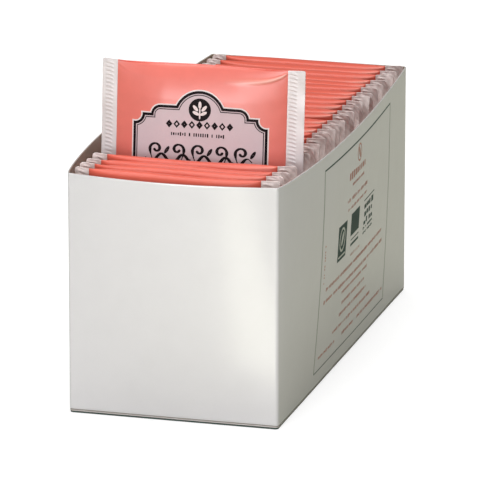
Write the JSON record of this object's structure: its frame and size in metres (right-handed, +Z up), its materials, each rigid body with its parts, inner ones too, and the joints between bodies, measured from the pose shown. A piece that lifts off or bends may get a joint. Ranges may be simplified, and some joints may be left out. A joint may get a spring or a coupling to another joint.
{
  "type": "open box of wrapped tea bags",
  "caption": "Open-topped folded carton filled with a row of upright wrapped tea bags, one of them drawn up above the rest.",
  "frame": {"origin": "middle of the whole object's footprint, on the surface it stands on", "axes": "+X to the right seen from the front, +Y from the front wall to the back wall, +Z up"},
  "size_m": [0.082, 0.1766, 0.1123],
  "materials": {
    "coated_board": "satin coated outside, raw greyish board inside",
    "sachet_paper": "satin printed wrapper paper with pale sealed edges"
  },
  "bodies": {
    "root": {"carton": "coated_board", "sachet_01": "sachet_paper", "sachet_02": "sachet_paper", "sachet_03": "sachet_paper", "sachet_04": "sachet_paper", "sachet_05": "sachet_paper", "sachet_06": "sachet_paper", "sachet_07": "sachet_paper", "sachet_08": "sachet_paper", "sachet_09": "sachet_paper", "sachet_10": "sachet_paper", "sachet_11": "sachet_paper", "sachet_12": "sachet_paper", "sachet_13": "sachet_paper", "sachet_14": "sachet_paper", "sachet_15": "sachet_paper", "sachet_16": "sachet_paper", "sachet_17": "sachet_paper", "sachet_18": "sachet_paper", "sachet_19": "sachet_paper", "sachet_20": "sachet_paper", "sachet_21": "sachet_paper", "sachet_22": "sachet_paper", "sachet_23": "sachet_paper", "sachet_24": "sachet_paper", "sachet_25": "sachet_paper"}
  },
  "joints": []
}
